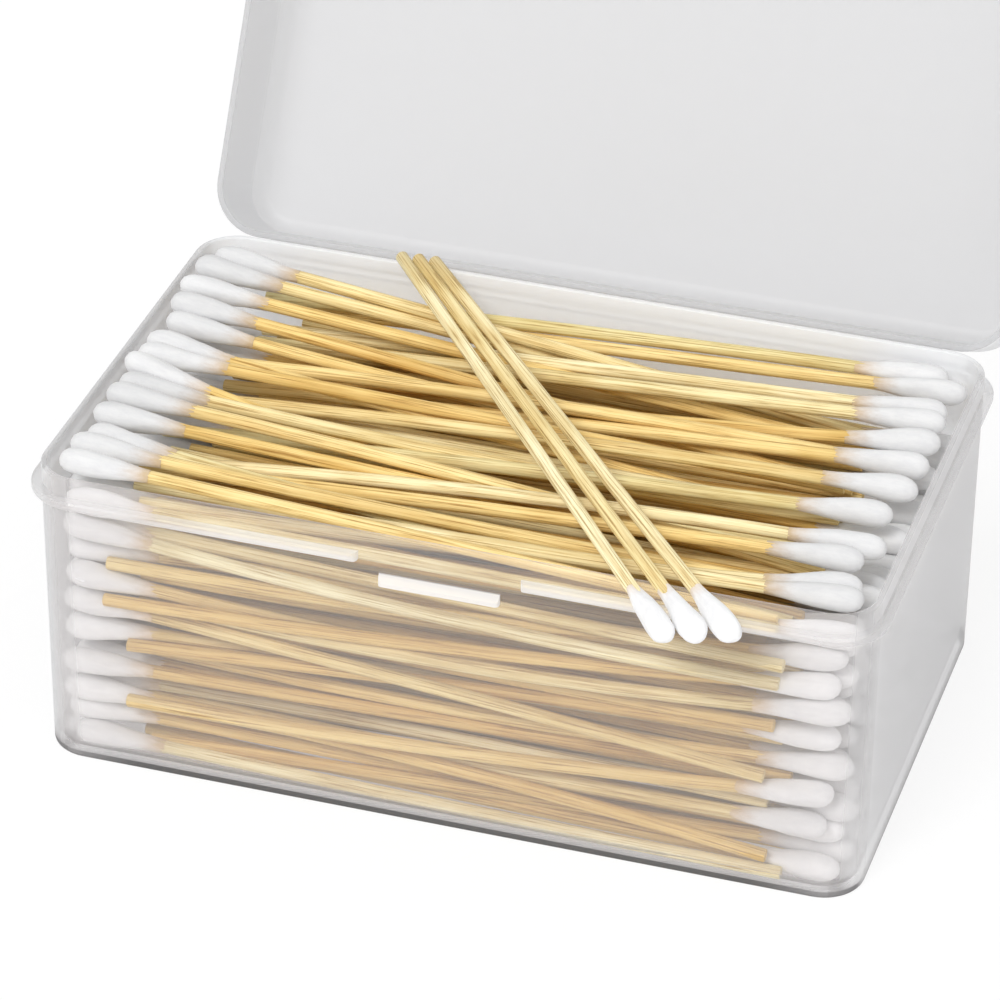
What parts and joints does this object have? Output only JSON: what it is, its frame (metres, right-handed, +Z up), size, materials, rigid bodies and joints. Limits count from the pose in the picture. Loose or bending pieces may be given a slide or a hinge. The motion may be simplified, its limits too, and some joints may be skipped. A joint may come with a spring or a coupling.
{
  "type": "cotton swab box",
  "caption": "Clear rectangular box with a hinged deep lid, packed with long wooden single-ended cotton swabs, three of them laid across the rim.",
  "frame": {"origin": "centre of the tub's base, on the surface the box stands on", "axes": "+X along the box to the viewer's right, +Y to the hinge side, +Z up"},
  "size_m": [0.171, 0.1968, 0.159],
  "materials": {
    "tub_plastic": "frosted clear polypropylene",
    "lid_plastic": "frosted clear polypropylene",
    "bamboo": "bare turned bamboo",
    "cotton": "wound cotton"
  },
  "bodies": {
    "tub": {"tub": "tub_plastic", "hinge_web": "tub_plastic", "top_sticks": "bamboo", "top_heads_left": "cotton", "top_heads_right": "cotton", "front_sticks": "bamboo", "front_heads_left": "cotton", "front_heads_right": "cotton", "back_sticks": "bamboo", "back_heads_left": "cotton", "back_heads_right": "cotton", "inner_sticks": "bamboo", "inner_heads_left": "cotton", "inner_heads_right": "cotton", "loose_stick_1": "bamboo", "loose_head_1": "cotton", "loose_stick_2": "bamboo", "loose_head_2": "cotton", "loose_stick_3": "bamboo", "loose_head_3": "cotton"},
    "lid": {"lid": "lid_plastic"}
  },
  "joints": [
    {"name": "lid_hinge", "type": "hinge", "parent": "tub", "child": "lid", "pos_m": [0, 0.0545, 0.0611], "axis": [-1, 0, 0], "range_deg": [-116, 60], "deforming": ["hinge_web"]}
  ]
}
